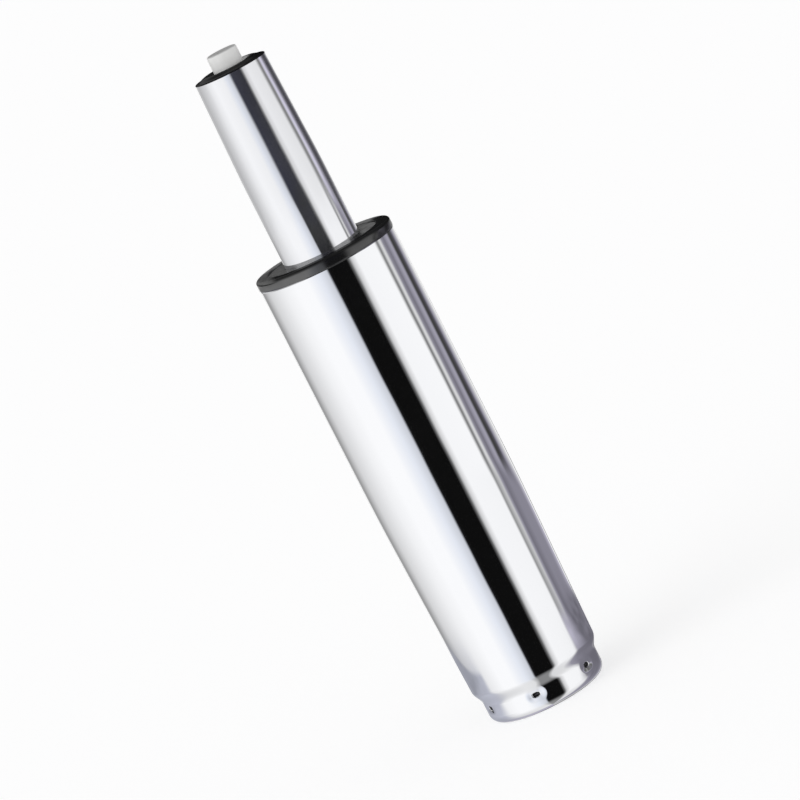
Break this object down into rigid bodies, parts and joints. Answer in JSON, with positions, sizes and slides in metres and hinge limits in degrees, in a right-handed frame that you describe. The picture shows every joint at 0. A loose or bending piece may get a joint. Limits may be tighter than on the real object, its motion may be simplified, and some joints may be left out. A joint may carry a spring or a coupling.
{
  "type": "chair gas lift cylinder",
  "caption": "Tapered chrome column with a telescoping gas spring cylinder, black collar and release button, for height adjustment of a swivel chair.",
  "frame": {"origin": "on the lift's axis at the foot, at the level of the surface that the foot stands on", "axes": "+Z along the lift's axis, from the foot towards the release button; X and Y are free because the part is round"},
  "size_m": [0.0506, 0.0506, 0.2491],
  "materials": {
    "column_chrome": "mirror chrome plate",
    "cylinder_chrome": "chrome plate, slightly softer than the column",
    "zinc_plate": "zinc plated",
    "bearing_steel": "ground steel",
    "black_plastic": "shiny black moulding",
    "grey_plastic": "dull dark grey moulding",
    "inner_plastic": "natural plastic",
    "rubber": "black rubber",
    "alloy": "turned alloy",
    "button_nylon": "natural pale plastic"
  },
  "bodies": {
    "column": {"outer_tube": "column_chrome", "base_plate": "zinc_plate", "lower_race": "bearing_steel", "guide_sleeve": "grey_plastic", "collar_ring": "black_plastic"},
    "ball_set": {"bearing_cage": "inner_plastic", "bearing_balls": "bearing_steel"},
    "rod": {"piston_rod": "bearing_steel", "upper_race": "bearing_steel", "bumper": "rubber", "clip_washer": "zinc_plate", "retaining_clip": "bearing_steel", "stop_sleeve": "inner_plastic", "piston": "alloy", "piston_seal": "rubber", "piston_washer": "zinc_plate"},
    "cylinder": {"cylinder_tube": "cylinder_chrome", "rod_guide": "alloy", "rod_seal": "rubber", "seal_washer": "zinc_plate", "tube_seat": "inner_plastic", "inner_tube": "bearing_steel", "valve_body": "alloy", "valve_o_rings": "rubber", "spigot_o_ring": "rubber", "seat_seal": "rubber", "stem_seal": "rubber", "gland_washer": "zinc_plate", "top_cap": "black_plastic"},
    "button": {"release_button": "button_nylon", "valve_pin": "bearing_steel"}
  },
  "joints": [
    {"name": "swivel", "type": "hinge", "parent": "column", "child": "rod", "pos_m": [0, 0, 0.0136], "axis": [0, 0, 1], "continuous": true},
    {"name": "ball_roll", "type": "hinge", "parent": "column", "child": "ball_set", "pos_m": [0, 0, 0.0136], "axis": [0, 0, 1], "continuous": true},
    {"name": "lift", "type": "slide", "parent": "rod", "child": "cylinder", "axis": [0, 0, 1], "range_m": [0, 0.08]},
    {"name": "button_press", "type": "slide", "parent": "cylinder", "child": "button", "axis": [0, 0, -1], "range_m": [0, 0.004], "stiffness_N_per_m": 2000, "springref_m": -0.0004}
  ],
  "couplings": [
    {"joint": "ball_roll", "follows": "swivel", "ratio": 0.5}
  ]
}
